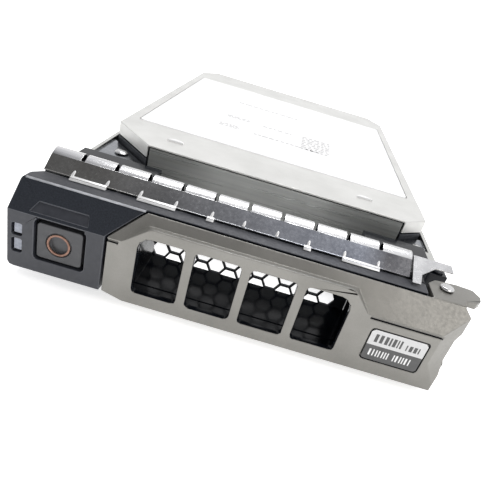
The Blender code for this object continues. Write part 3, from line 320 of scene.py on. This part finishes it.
    label = Look("label_paper", (0.90, 0.90, 0.90), 0.5)
    label.tint(0.004, grey(0.89), grey(0.91)).gloss(0.002, 0.44, 0.56).bump(0.0004, 0.000004, 0.4)
    looks["label_white"] = label

    ink = Look("label_ink", (0.50, 0.51, 0.53), 0.55)
    ink.tint(0.0006, grey(0.46), grey(0.66), detail=3)
    looks["ink"] = ink

    sticker_light = Look("sticker_light", (0.62, 0.62, 0.61), 0.42)
    sticker_light.tint(0.0012, grey(0.60), grey(0.64)).bump(0.0003, 0.000004, 0.4)
    looks["sticker_light"] = sticker_light

    sticker_dark = Look("sticker_dark", (0.075, 0.078, 0.088), 0.42)
    sticker_dark.tint(0.0012, grey(0.068), grey(0.084)).bump(0.0003, 0.000004, 0.4)
    looks["sticker_dark"] = looks["label_grey"] = sticker_dark

    white_print = Look("white_print", (0.80, 0.81, 0.83), 0.5)
    white_print.tint(0.0004, grey(0.72), grey(0.86))
    looks["white_print"] = white_print

    board = Look("board", (0.012, 0.060, 0.036), 0.35, Coat_Weight=0.3)
    traces = board.noise(0.0009, detail=0, stretch=(5, 1, 1))
    across = board.noise(0.0009, detail=0, stretch=(1, 5, 1))
    both = board.sum(board.span(traces, 0, 1, 0.52, 0.56), board.span(across, 0, 1, 0.56, 0.60), "MAXIMUM")
    board.colour(board.mix(both, (0.010, 0.050, 0.030), (0.022, 0.105, 0.060)))
    board.relief(both, 0.00003, 0.6)
    looks["board"] = board

    chip = Look("chip_black", (0.018, 0.018, 0.019), 0.5)
    chip.tint(0.0006, grey(0.014), grey(0.024)).bump(0.0002, 0.00001, 0.5)
    looks["chip"] = chip

    gold = Look("contact_gold", (0.75, 0.52, 0.20), 0.25, 1.0)
    gold.tint(0.0005, (0.68, 0.46, 0.17), (0.80, 0.57, 0.24))
    looks["gold"] = gold

    connector = Look("connector_black", (0.022, 0.022, 0.024), 0.42)
    connector.tint(0.001, grey(0.018), grey(0.028)).gloss(0.0007, 0.34, 0.5)
    looks["connector_black"] = connector

    platter = Look("platter_mirror", (0.80, 0.80, 0.83), 0.05, 1.0)
    platter.tint(0.02, (0.77, 0.77, 0.80), (0.82, 0.82, 0.85)).gloss(0.01, 0.03, 0.07)
    looks["platter_mirror"] = platter

    machined = Look("machined_aluminium", (0.62, 0.63, 0.64), 0.32, 1.0)
    machined.tint(0.002, grey(0.56), grey(0.68), detail=3).gloss(0.0008, 0.26, 0.4)
    machined.bump(0.0003, 0.000008, 0.5, stretch=(1, 1, 0.3))
    looks["aluminium"] = machined

    coil = Look("coil_copper", (0.62, 0.28, 0.13), 0.35, 1.0)
    coil.tint(0.00025, (0.50, 0.21, 0.09), (0.72, 0.35, 0.17), stretch=(1, 1, 0.5))
    coil.bump(0.0002, 0.00004, 0.8, stretch=(3, 3, 0.5))
    looks["coil_copper"] = coil

    nickel = Look("magnet_nickel", (0.58, 0.57, 0.54), 0.22, 1.0)
    nickel.tint(0.003, (0.52, 0.51, 0.48), (0.63, 0.62, 0.59)).gloss(0.001, 0.18, 0.30)
    looks["magnet_nickel"] = nickel

    ivory = Look("ivory_plastic", (0.62, 0.57, 0.44), 0.42)
    ivory.tint(0.002, (0.58, 0.53, 0.40), (0.66, 0.61, 0.48)).bump(0.0003, 0.00001, 0.4)
    looks["ivory_plastic"] = ivory

    flex = Look("flex_amber", (0.40, 0.18, 0.035), 0.3, Coat_Weight=0.4)
    flex.tint(0.0007, (0.34, 0.15, 0.03), (0.48, 0.24, 0.05), stretch=(6, 6, 1))
    looks["flex_amber"] = flex

    return {name: look.made for name, look in looks.items()}


LOOKS = make_looks()


# ------------------------------------------------------------------ pieces
def put(name, mesh, look, body=ROOT):
    made = bpy.data.objects.new(name, mesh)
    bpy.context.scene.collection.objects.link(made)
    for one in look if isinstance(look, (list, tuple)) else [look]:
        mesh.materials.append(LOOKS[one])
    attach(made, body)
    return made


def clean_copy(node):
    """The CAD node's shape as a fresh bmesh: welded, and its flat areas made whole."""
    shape = bmesh.new()
    shape.from_mesh(NODES[node].data)
    bmesh.ops.remove_doubles(shape, verts=shape.verts, dist=WELD)
    bmesh.ops.dissolve_limit(shape, angle_limit=FLAT, verts=shape.verts, edges=shape.edges)
    shape.verts.index_update()
    shape.edges.index_update()
    return shape


def gap_between(first, second):
    """The least distance between two edges of one flat face."""
    least = 1.0
    for a, b in ((first, second), (second, first)):
        start, end = (v.co for v in b.verts)
        for vertex in a.verts:
            _, t = intersect_point_line(vertex.co, start, end)
            least = min(least, (vertex.co - start.lerp(end, min(1.0, max(0.0, t)))).length)
    return least


def rounding_widths(shape, width, strong):
    """How far each sharp edge may be rounded: the width asked for, or less where faces are narrow."""
    widths = {}
    for edge in shape.edges:
        if len(edge.link_faces) == 2 and edge.calc_face_angle() > SHARP:
            times = strong((edge.verts[0].co + edge.verts[1].co) / 2) if strong else 1.0
            widths[edge] = width * times
    for face in shape.faces:
        inside = [edge for edge in face.edges if edge in widths]
        for k, edge in enumerate(inside):
            for other in inside[k + 1:]:
                if set(edge.verts) & set(other.verts):
                    room = min(edge.calc_length(), other.calc_length())
                else:
                    room = gap_between(edge, other)
                if room < CROWDED * max(widths[edge], widths[other]):
                    widths[edge] = min(widths[edge], room * ROOM_TAKEN)
                    widths[other] = min(widths[other], room * ROOM_TAKEN)
    return {frozenset(v.index for v in edge.verts): value for edge, value in widths.items()}


def finished(node, width, look, segments=2, pick=None, strong=None, edge_look=-1):
    """A rounded-edge piece in the CAD node's place.

    pick sorts faces into the looks given. strong says how many times wider than width an edge's
    rounding is, from the edge's middle. edge_look is the number of the look on rounded edges.
    """
    shape = clean_copy(node)
    widths = rounding_widths(shape, width, strong)
    bmesh.ops.triangulate(shape, faces=shape.faces, quad_method="BEAUTY", ngon_method="BEAUTY")
    vertices = [v.co.copy() for v in shape.verts]
    faces = [[v.index for v in f.verts] for f in shape.faces]
    shape.free()
    mesh = bpy.data.meshes.new(f"{node}_finished")
    mesh.from_pydata(vertices, [], faces)
    piece = put(f"{node}_finished", mesh, look, BODY_OF[node])
    if pick:
        for face in mesh.polygons:
            face.material_index = pick(face)
    mesh.shade_smooth()
    most = max(widths.values())
    weights = [widths.get(frozenset(edge.vertices), 0.0) / most for edge in mesh.edges]
    layer = mesh.attributes.new("bevel_weight_edge", "FLOAT", "EDGE")
    layer.data.foreach_set("value", weights)
    bevel = piece.modifiers.new("Edges", "BEVEL")
    bevel.width = most
    bevel.segments = segments
    bevel.limit_method = "WEIGHT"
    bevel.use_clamp_overlap = False
    bevel.miter_outer = "MITER_ARC"
    bevel.material = edge_look
    piece.modifiers.new("Normals", "WEIGHTED_NORMAL")
    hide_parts(node)
    return piece


def repaint(node, look):
    """The CAD node as it is, with a better material."""
    node_object = NODES[node]
    for slot_number in range(len(node_object.material_slots)):
        node_object.material_slots[slot_number].material = LOOKS[look]


# ------------------------------------------------------------------ camera, light and floor
def make_camera():
    """The camera, where a fit to the drive's corners puts it."""
    data = bpy.data.cameras.new("camera")
    data.sensor_width = 36.0
    data.lens = 34.90
    data.shift_x = -0.0202
    data.shift_y = 0.0240
    data.clip_start = 0.005
    data.clip_end = 50.0
    camera = bpy.data.objects.new("camera", data)
    right = Vector((0.958738, 0.122832, 0.256385))
    down = Vector((0.283789, -0.467020, -0.837470))
    ahead = Vector((0.016869, 0.875674, -0.482608))
    turn = Matrix((right, -down, -ahead)).transposed().to_4x4()
    camera.matrix_world = Matrix.Translation((0.000527, -0.185896, 0.074322)) @ turn
    bpy.context.scene.collection.objects.link(camera)
    bpy.context.scene.camera = camera


def area_light(name, place, aim, size, power, colour=(1, 1, 1)):
    data = bpy.data.lights.new(name, "AREA")
    data.shape = "RECTANGLE"
    data.size, data.size_y = size
    data.energy = power
    data.color = colour
    lamp = bpy.data.objects.new(name, data)
    lamp.location = place
    lamp.rotation_euler = (Vector(aim) - Vector(place)).to_track_quat("-Z", "Y").to_euler()
    bpy.context.scene.collection.objects.link(lamp)


def make_studio():
    """White surroundings low down and behind, darker above the front left, and one overhead softbox."""
    world = bpy.data.worlds.new("studio")
    world.use_nodes = True
    tree = world.node_tree
    background = tree.nodes["Background"]

    def spread(value, low, high):
        node = tree.nodes.new("ShaderNodeMapRange")
        node.inputs["From Min"].default_value = low
        node.inputs["From Max"].default_value = high
        tree.links.new(value, node.inputs["Value"])
        return node.outputs["Result"]

    place = tree.nodes.new("ShaderNodeTexCoord")
    split = tree.nodes.new("ShaderNodeSeparateXYZ")
    tree.links.new(place.outputs["Generated"], split.inputs["Vector"])
    lean = tree.nodes.new("ShaderNodeMath")
    lean.operation = "MULTIPLY_ADD"
    lean.inputs[1].default_value = 0.6
    tree.links.new(split.outputs["X"], lean.inputs[0])
    tree.links.new(split.outputs["Y"], lean.inputs[2])
    ceiling = tree.nodes.new("ShaderNodeValToRGB")
    tree.links.new(spread(lean.outputs["Value"], -0.7, 0.5), ceiling.inputs["Fac"])
    for element, (where, value) in zip(ceiling.color_ramp.elements, ((0.08, 0.10), (0.85, 0.95))):
        element.position = where
        element.color = (value, value, value * 1.03, 1)
    middle = ceiling.color_ramp.elements.new(0.48)
    middle.color = (0.42, 0.42, 0.44, 1)
    blend = tree.nodes.new("ShaderNodeMix")
    blend.data_type = "RGBA"
    blend.inputs[6].default_value = (1.0, 1.0, 1.0, 1)
    tree.links.new(spread(split.outputs["Z"], 0.30, 0.70), blend.inputs["Factor"])
    tree.links.new(ceiling.outputs["Color"], blend.inputs[7])
    tree.links.new(blend.outputs[2], background.inputs["Color"])
    background.inputs["Strength"].default_value = 1.02
    bpy.context.scene.world = world
    bpy.context.scene.view_settings.view_transform = "Standard"

    area_light("softbox", (0.0, 0.32, 0.90), (0, -0.06, 0), (0.55, 0.28), 3.8)
    area_light("right_panel", (0.42, -0.42, 0.64), (0.045, -0.09, 0.02), (0.32, 0.32), 1.2, (1, 0.97, 0.93))

    floor_look = Look("floor", (0.95, 0.95, 0.95), 0.9, Emission_Strength=0.62)
    floor_look.set("Emission Color", (1, 1, 1, 1))
    floor_look.tint(0.05, grey(0.94), grey(0.96))
    mesh = bpy.data.meshes.new("floor")
    shape = bmesh.new()
    bmesh.ops.create_grid(shape, x_segments=8, y_segments=8, size=6.0)
    shape.to_mesh(mesh)
    shape.free()
    floor = bpy.data.objects.new("floor", mesh)
    floor.location.z = -FLOOR_DROP
    mesh.materials.append(floor_look.made)
    bpy.context.scene.collection.objects.link(floor)


# ------------------------------------------------------------------ small builders
def mesh_of(shape, name):
    """The bmesh as a mesh whose faces all look outward."""
    bmesh.ops.recalc_face_normals(shape, faces=shape.faces)
    mesh = bpy.data.meshes.new(name)
    shape.to_mesh(mesh)
    shape.free()
    return mesh


def round_edges(piece, width, sharp=30.0):
    """Rounding on edges sharper than sharp degrees."""
    edges = piece.modifiers.new("Edges", "BEVEL")
    edges.width, edges.segments, edges.angle_limit = width, 2, math.radians(sharp)


def strip_mesh(name, rectangles, height):
    """Thin raised bars: each rectangle is (centre, half width vector, half height vector, normal)."""
    shape = bmesh.new()
    for centre, along, up, normal in rectangles:
        corners = [centre + along * a + up * b for a, b in ((-1, -1), (1, -1), (1, 1), (-1, 1))]
        low = [shape.verts.new(c) for c in corners]
        high = [shape.verts.new(c + normal * height) for c in corners]
        shape.faces.new(high)
        shape.faces.new(low[::-1])
        for k in range(4):
            shape.faces.new((low[k], low[(k + 1) % 4], high[(k + 1) % 4], high[k]))
    return mesh_of(shape, name)


def bars(spec, place, along, up, normal):
    """Rectangles from (x, y, width, height) in a flat frame."""
    found = []
    for x, y, width, height in spec:
        centre = place + along * x + up * y
        found.append((centre, along * (width / 2), up * (height / 2), normal))
    return found


make_camera()
make_studio()


# ------------------------------------------------------------------ carrier
def on_band(face):
    """Which of the bezel's looks a face takes: textured on the 45 degree band, plain elsewhere."""
    normal, middle = face.normal, face.center
    slanted = 0.5 < -normal.y < 0.9 and 0.5 < normal.z < 0.9
    on_plane = abs((middle.z - BAND_LOW) - (middle.y - BAND_FRONT)) < 0.00012
    strip_front = normal.y < -0.9 and middle.y > -0.0890 and middle.z > 0.0220
    return 1 if slanted and on_plane else 3 if strip_front else 0


def handle_edges(middle):
    """The handle's top edges are softer than its others."""
    along_top = middle.z > 0.0225 and middle.y < -0.0870
    band_foot = abs(middle.z - 0.0179) < 0.0003 and middle.y < -0.0940
    return 2.0 if along_top else 1.2 if band_foot else 1.0


def bezel_edges(middle):
    """The ridge between the band and the top is the softest edge of the bezel."""
    ridge = middle.z > 0.0237 and middle.y < -0.0880 and middle.x < -0.0230
    return 1.8 if ridge else 1.0


# The bezel's rounded edges take bezel_edge, a painted highlight.
bezel_looks = ["bezel", "bezel_texture", "bezel_edge", "black_plastic"]
finished("button_bezel", 0.00022, bezel_looks, 3, pick=on_band, strong=bezel_edges, edge_look=2)
finished("release_button", 0.00018, "button_plastic", 2)
finished("button_ring", 0.00008, "copper_ring", 2)


def handle_side(face):
    """Paint outside, and the frame's black look on the faces turned inward and on the back."""
    x, y, z = face.center
    normal = face.normal
    within = -0.0304 < x < 0.0480 and 0.0034 < z < 0.0216 and y > -0.0944
    outward = normal.y < -0.4 or (normal.z > 0.35 and z > 0.0172)
    behind = normal.y > 0.9 and y > -0.0890 and z < 0.0222 and x < 0.0440
    return 1 if (within and not outward) or behind else 0


handle_looks = ["handle_paint", "black_plastic"]
finished("handle", 0.00025, handle_looks, 3, pick=handle_side, strong=handle_edges)
finished("front_frame", 0.00018, "black_plastic", 2)


def gasket_side(face):
    """The rolled crest takes a brighter copy of the steel than the face, a painted highlight."""
    return 1 if face.center.z > 0.02735 else 0


finished("emi_gasket", 0.00006, ["gasket_steel", "gasket_crest"], 1, pick=gasket_side)
finished("shield_bracket", 0.00004, "stainless", 1)


def rail_side(face):
    """The gusset's top is darker than the rest of the rail."""
    flat_top = face.normal.z > 0.9 and 0.0190 < face.center.z < 0.0199 and face.center.y < -0.0350
    return 1 if flat_top else 0


for rail in ("left_rail", "right_rail"):
    finished(rail, 0.00015, ["rail_steel", "rail_gusset"], 2, pick=rail_side)
finished("top_cover", 0.00025, "cover_metal", 3)
finished("base_casting", 0.00025, "casting", 2)
finished("front_plate", 0.00010, "brushed", 2)
finished("latch_slider", 0.00012, "button_plastic", 2)
finished("circuit_board", 0.00010, "board", 1)
finished("host_connector", 0.00010, "connector_black", 1)
finished("load_ramp", 0.00015, "ivory_plastic", 2)
for bright in ("handle_pin", "left_rivet", "right_rivet"):
    finished(bright, 0.00007, "stainless", 2)
finished("frame_screw", 0.00007, "black_steel", 2)
for screw in (*(f"drive_screw_{k}" for k in (1, 2, 3, 4)), "board_screw_1", "board_screw_2"):
    finished(screw, 0.00006, "steel", 1)


# ------------------------------------------------------------------ small parts on the carrier
def solid_between(name, outline, place, along, up, normal, height, look, body=ROOT):
    """A flat outline in (along, up) raised by height along normal."""
    shape = bmesh.new()
    base = [shape.verts.new(place + along * x + up * y) for x, y in outline]
    top = [shape.verts.new(v.co + normal * height) for v in base]
    shape.faces.new(top)
    shape.faces.new(base[::-1])
    for k in range(len(base)):
        n = (k + 1) % len(base)
        shape.faces.new((base[k], base[n], top[n], top[k]))
    return put(name, mesh_of(shape, name), look, body)


def make_handle_label():
    """Two tones with plain bars in place of print."""
    left, right, split, high, corner = 33.32, 46.98, 10.25, 14.58, 0.7
    thickness = 0.00002
    place, out = Vector((0, -0.0944, 0)), -Y
    light = [
        (left, split), (right, split), (right, high - corner), (right - corner, high),
        (left + corner, high), (left, high - corner),
    ]
    outline = [(a * MM, b * MM) for a, b in light]
    solid_between(
        "handle_label_light", outline, place, X, Z, out, thickness, "sticker_light", "handle"
    )
    spread = random.Random(5)
    dark_marks, light_marks = [], []
    for marks, start, end, z0, z1 in (
        (dark_marks, 34.6, 41.3, 11.2, 13.5), (dark_marks, 42.3, 45.7, 11.2, 12.8),
        (light_marks, 34.6, 39.6, 7.2, 9.1), (light_marks, 40.6, 45.0, 7.2, 9.1),
    ):
        x = start
        while x < end:
            width = spread.choice((0.30, 0.45, 0.75))
            marks.append(((x + width / 2) * MM, (z0 + z1) / 2 * MM, width * MM, (z1 - z0) * MM))
            x += width + spread.choice((0.35, 0.5))
    for name, marks, look, lift in (
        ("handle_label_dark_bars", dark_marks, "sticker_dark", thickness),
        ("handle_label_light_bars", light_marks, "white_print", 0.0),
    ):
        mesh = strip_mesh(name, bars(marks, place + out * lift, X, Z, out), thickness)
        put(name, mesh, look, "handle")


def sweep_along_x(name, profile, span, look):
    """A closed outline in (y, z) run along x."""
    place = Vector((span[0], 0, 0))
    return solid_between(name, profile, place, Y, Z, X, span[1] - span[0], look, ROOT)


def make_gasket_hooks():
    """The rolled lips along the gasket's foot, with the small folds beside each."""
    lip = [
        (-0.08465, 0.02412), (-0.08465, 0.0242), (-0.08455, 0.0243), (-0.08415, 0.0246),
        (-0.08375, 0.02485), (-0.08340, 0.0249), (-0.08330, 0.02412),
    ]
    spans = [(-44.9, -36.0), (-28.3, -18.9), (-11.2, -9.4), (13.0, 14.8), (22.6, 32.0)]
    for k, (start, end) in enumerate(spans):
        span = (start * MM, end * MM)
        piece = sweep_along_x(f"gasket_lip_{k}", lip, span, "gasket_lip")
        piece.data.shade_smooth()
        round_edges(piece, 0.00008, 50)
    run, rise = 3.6, 2.9  # of the gasket's sloping face
    face_up = Vector((0, run, rise)).normalized()
    face_out = Vector((0, -rise, run)).normalized()
    foot = Vector((0, -0.0833, 0.0245))
    for k, x in enumerate((-44.7, -36.3, -28.0, -19.3, -10.3, -2.3, 6.0, 13.9, 22.9, 31.4)):
        fold = [(-0.35, 0.15), (0.35, 0.10), (0.45, 0.8), (0.42, 1.5), (0.15, 1.75), (-0.15, 1.3)]
        outline = [(a * MM, b * MM) for a, b in fold]
        place = foot + X * (x * MM) + face_out * 0.00014
        piece = solid_between(
            f"gasket_fold_{k}", outline, place, X, face_up, face_out, 0.00022, "gasket_lip",
        )
        round_edges(piece, 0.00012)
        piece.data.shade_smooth()


def make_ridge():
    """The bezel's ridge, a slim rounded bead between the band and the top, light grey as a painted
    highlight.
    """
    bead = [
        (-0.08880, 0.02374), (-0.08878, 0.02392), (-0.08864, 0.02406), (-0.08844, 0.02411),
        (-0.08824, 0.02407), (-0.08814, 0.02396), (-0.08840, 0.02370),
    ]
    piece = sweep_along_x("bezel_ridge", bead, (-0.0530, -0.0246), "bezel_ridge")
    piece.data.shade_smooth()


make_ridge()
make_handle_label()
make_gasket_hooks()


# ------------------------------------------------------------------ cover: embossings and print
def make_embossings():
    """Two shallow half-moon louvres near the cover's front edge, tall in front and flush behind."""
    half_width, depth, height, front, steps = 2.6, 3.3, 0.60, -42.2, 16
    foot = LID_TOP / MM - 0.01
    for name, x in (("left", -31.0), ("right", 31.0)):
        shape = bmesh.new()
        rings = []
        for reach, rise in ((1.0, 0.0), (0.97, 0.7), (0.88, 1.0)):
            ring = []
            for k in range(steps + 1):
                t = math.pi * k / steps
                along, back = -half_width * reach * math.cos(t), depth * reach * math.sin(t)
                high = foot + height * rise * (1 - 0.92 * back / depth)
                ring.append(shape.verts.new(((x + along) * MM, (front + back) * MM, high * MM)))
            rings.append(ring)
        for a, b in zip(rings, rings[1:]):
            for k in range(steps):
                shape.faces.new((a[k], a[k + 1], b[k + 1], b[k]))
        shape.faces.new(rings[-1])
        shape.faces.new([ring[0] for ring in rings] + [ring[-1] for ring in rings[::-1]])
        shape.faces.new(rings[0][::-1])
        full_name = f"cover_emboss_{name}"
        # The louvres take cover_bright, a painted highlight.
        put(full_name, mesh_of(shape, full_name), "cover_bright", ROOT)


def make_print():
    """Rows of faint dashes where the label would be printed."""
    spread = random.Random(11)
    blocks = (  # x from and to, y from and to, rows, longest dash, in mm
        (-22.7, 5.2, 38.6, 40.6, 1, 3.2),
        (-23.3, -13.9, 8.8, 12.2, 2, 3.0),
        (-23.9, -16.2, -6.4, -1.9, 3, 1.8),
        (-10.1, 15.3, -6.3, -4.3, 1, 2.6),
        (8.6, 20.2, -6.7, 12.6, 8, 2.2),
        (-8.0, 4.0, 8.5, 10.5, 1, 2.0),
    )
    marks = []
    for x0, x1, y0, y1, rows, longest in blocks:
        pitch = (y1 - y0) / rows
        for row in range(rows):
            y = y0 + (row + 0.5) * pitch
            x = x0
            while x < x1:
                width = min(spread.uniform(0.35, 1.0) * longest, x1 - x)
                if width > 0.2:
                    marks.append(((x + width / 2) * MM, y * MM, width * MM, pitch * 0.58 * MM))
                x += width + spread.uniform(0.4, 1.1)
    mesh = strip_mesh("label_print", bars(marks, Z * LID_TOP, X, Y, Z), PRINT_THICKNESS)
    put("label_print", mesh, "ink", ROOT)


make_embossings()
make_print()


# ------------------------------------------------------------------ underside: board
def make_board_parts():
    """Chips and gold pads under the board."""
    sunk = 0.00003  # of a chip into the board

    def chip(name, x, y, width, length, height):
        a, b = width / 2, length / 2
        outline = [(-a, -b), (a, -b), (a, b), (-a, b)]
        place = Vector((x, y, BOARD_UNDERSIDE + sunk))
        piece = solid_between(name, outline, place, X, -Y, -Z, height + sunk, "chip")
        round_edges(piece, 0.00012)

    chip("board_chip_main", 0.006, 0.052, 0.0120, 0.0120, 0.00095)
    chip("board_chip_motor", -0.016, 0.040, 0.0080, 0.0080, 0.0008)
    chip("board_chip_memory", 0.024, 0.056, 0.0070, 0.0100, 0.0009)
    chip("board_chip_flash", -0.0290, 0.0620, 0.0050, 0.0040, 0.0008)
    pads, spread = [], random.Random(3)
    legs = (  # of each chip: middle, half width and length of the row of pads, pads on a side
        (0.006, 0.052, 0.0066, 0.0066, 15),
        (-0.016, 0.040, 0.0046, 0.0046, 10),
        (0.024, 0.056, 0.0041, 0.0055, 12),
    )
    for cx, cy, half_x, half_y, count in legs:
        for k in range(count):
            step = (k + 0.5) / count * 2 - 1
            for side in (-1, 1):
                pads.append((cx + step * half_x * 0.9, cy + side * half_y, 0.00035, 0.0007))
                pads.append((cx + side * half_x, cy + step * half_y * 0.9, 0.0007, 0.00035))
    for _ in range(70):
        x, y = spread.uniform(-0.036, 0.036), spread.uniform(0.032, 0.082)
        size = spread.choice((0.0005, 0.0007, 0.0010))
        if all(abs(x - leg[0]) > 0.0085 or abs(y - leg[1]) > 0.0085 for leg in legs[:2]):
            pads.append((x, y, size, size * spread.choice((0.6, 1.0, 1.6))))
    mesh = strip_mesh("board_pads", bars(pads, Z * BOARD_UNDERSIDE, X, Y, -Z), 0.00005)
    put("board_pads", mesh, "gold", ROOT)


make_board_parts()

for node, slot_name in SLOT_OF.items():
    if not NODES[node].hide_render:
        repaint(node, slot_name)
